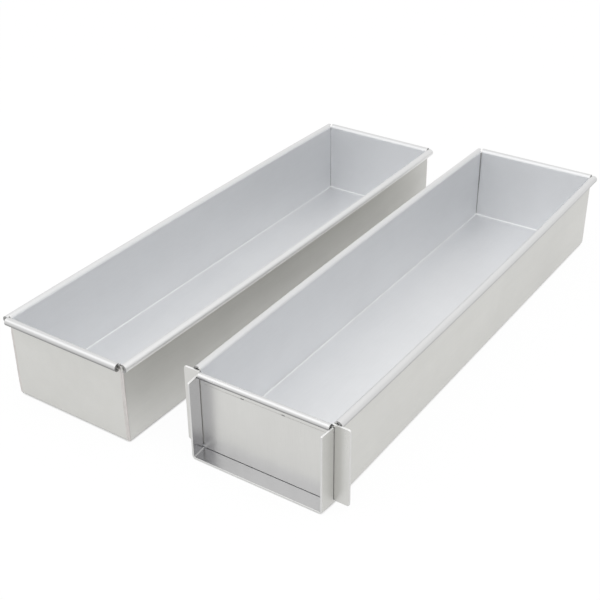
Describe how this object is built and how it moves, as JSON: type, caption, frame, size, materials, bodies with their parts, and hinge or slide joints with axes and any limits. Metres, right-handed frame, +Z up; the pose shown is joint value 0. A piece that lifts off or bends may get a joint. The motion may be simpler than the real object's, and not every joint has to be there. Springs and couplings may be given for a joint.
{
  "type": "long baking pan set with lift-out end gate",
  "caption": "Long straight-sided aluminium baking pans with rolled rims: one with fixed walls, one with an apron and an eared end gate that lifts out of slots.",
  "frame": {"origin": "centre of the set's outer box, on the surface that both pans stand on", "axes": "+Z up, +Y along the gated pan from the gate to its fixed far end, +X from the plain pan to the gated pan"},
  "size_m": [0.269, 0.4427, 0.065],
  "materials": {
    "pan_sheet": "satin anodised, fine even grain",
    "gate_sheet": "satin anodised, fine even grain",
    "corner_weld": "weld ground flush and dulled"
  },
  "bodies": {
    "gated_pan": {"gated_pan_sheet": "pan_sheet", "gated_pan_weld_far_left": "corner_weld", "gated_pan_weld_far_right": "corner_weld"},
    "end_gate": {"end_gate": "gate_sheet"},
    "plain_pan": {"plain_pan_sheet": "pan_sheet", "plain_pan_weld_near_left": "corner_weld", "plain_pan_weld_near_right": "corner_weld", "plain_pan_weld_far_left": "corner_weld", "plain_pan_weld_far_right": "corner_weld"}
  },
  "joints": [
    {"name": "gate_lift", "type": "slide", "parent": "gated_pan", "child": "end_gate", "axis": [0, 0, 1], "range_m": [0, 0.07]},
    {"name": "plain_pan_lift", "type": "slide", "parent": "gated_pan", "child": "plain_pan", "axis": [0, 0, 1], "range_m": [0, 0.08]}
  ]
}
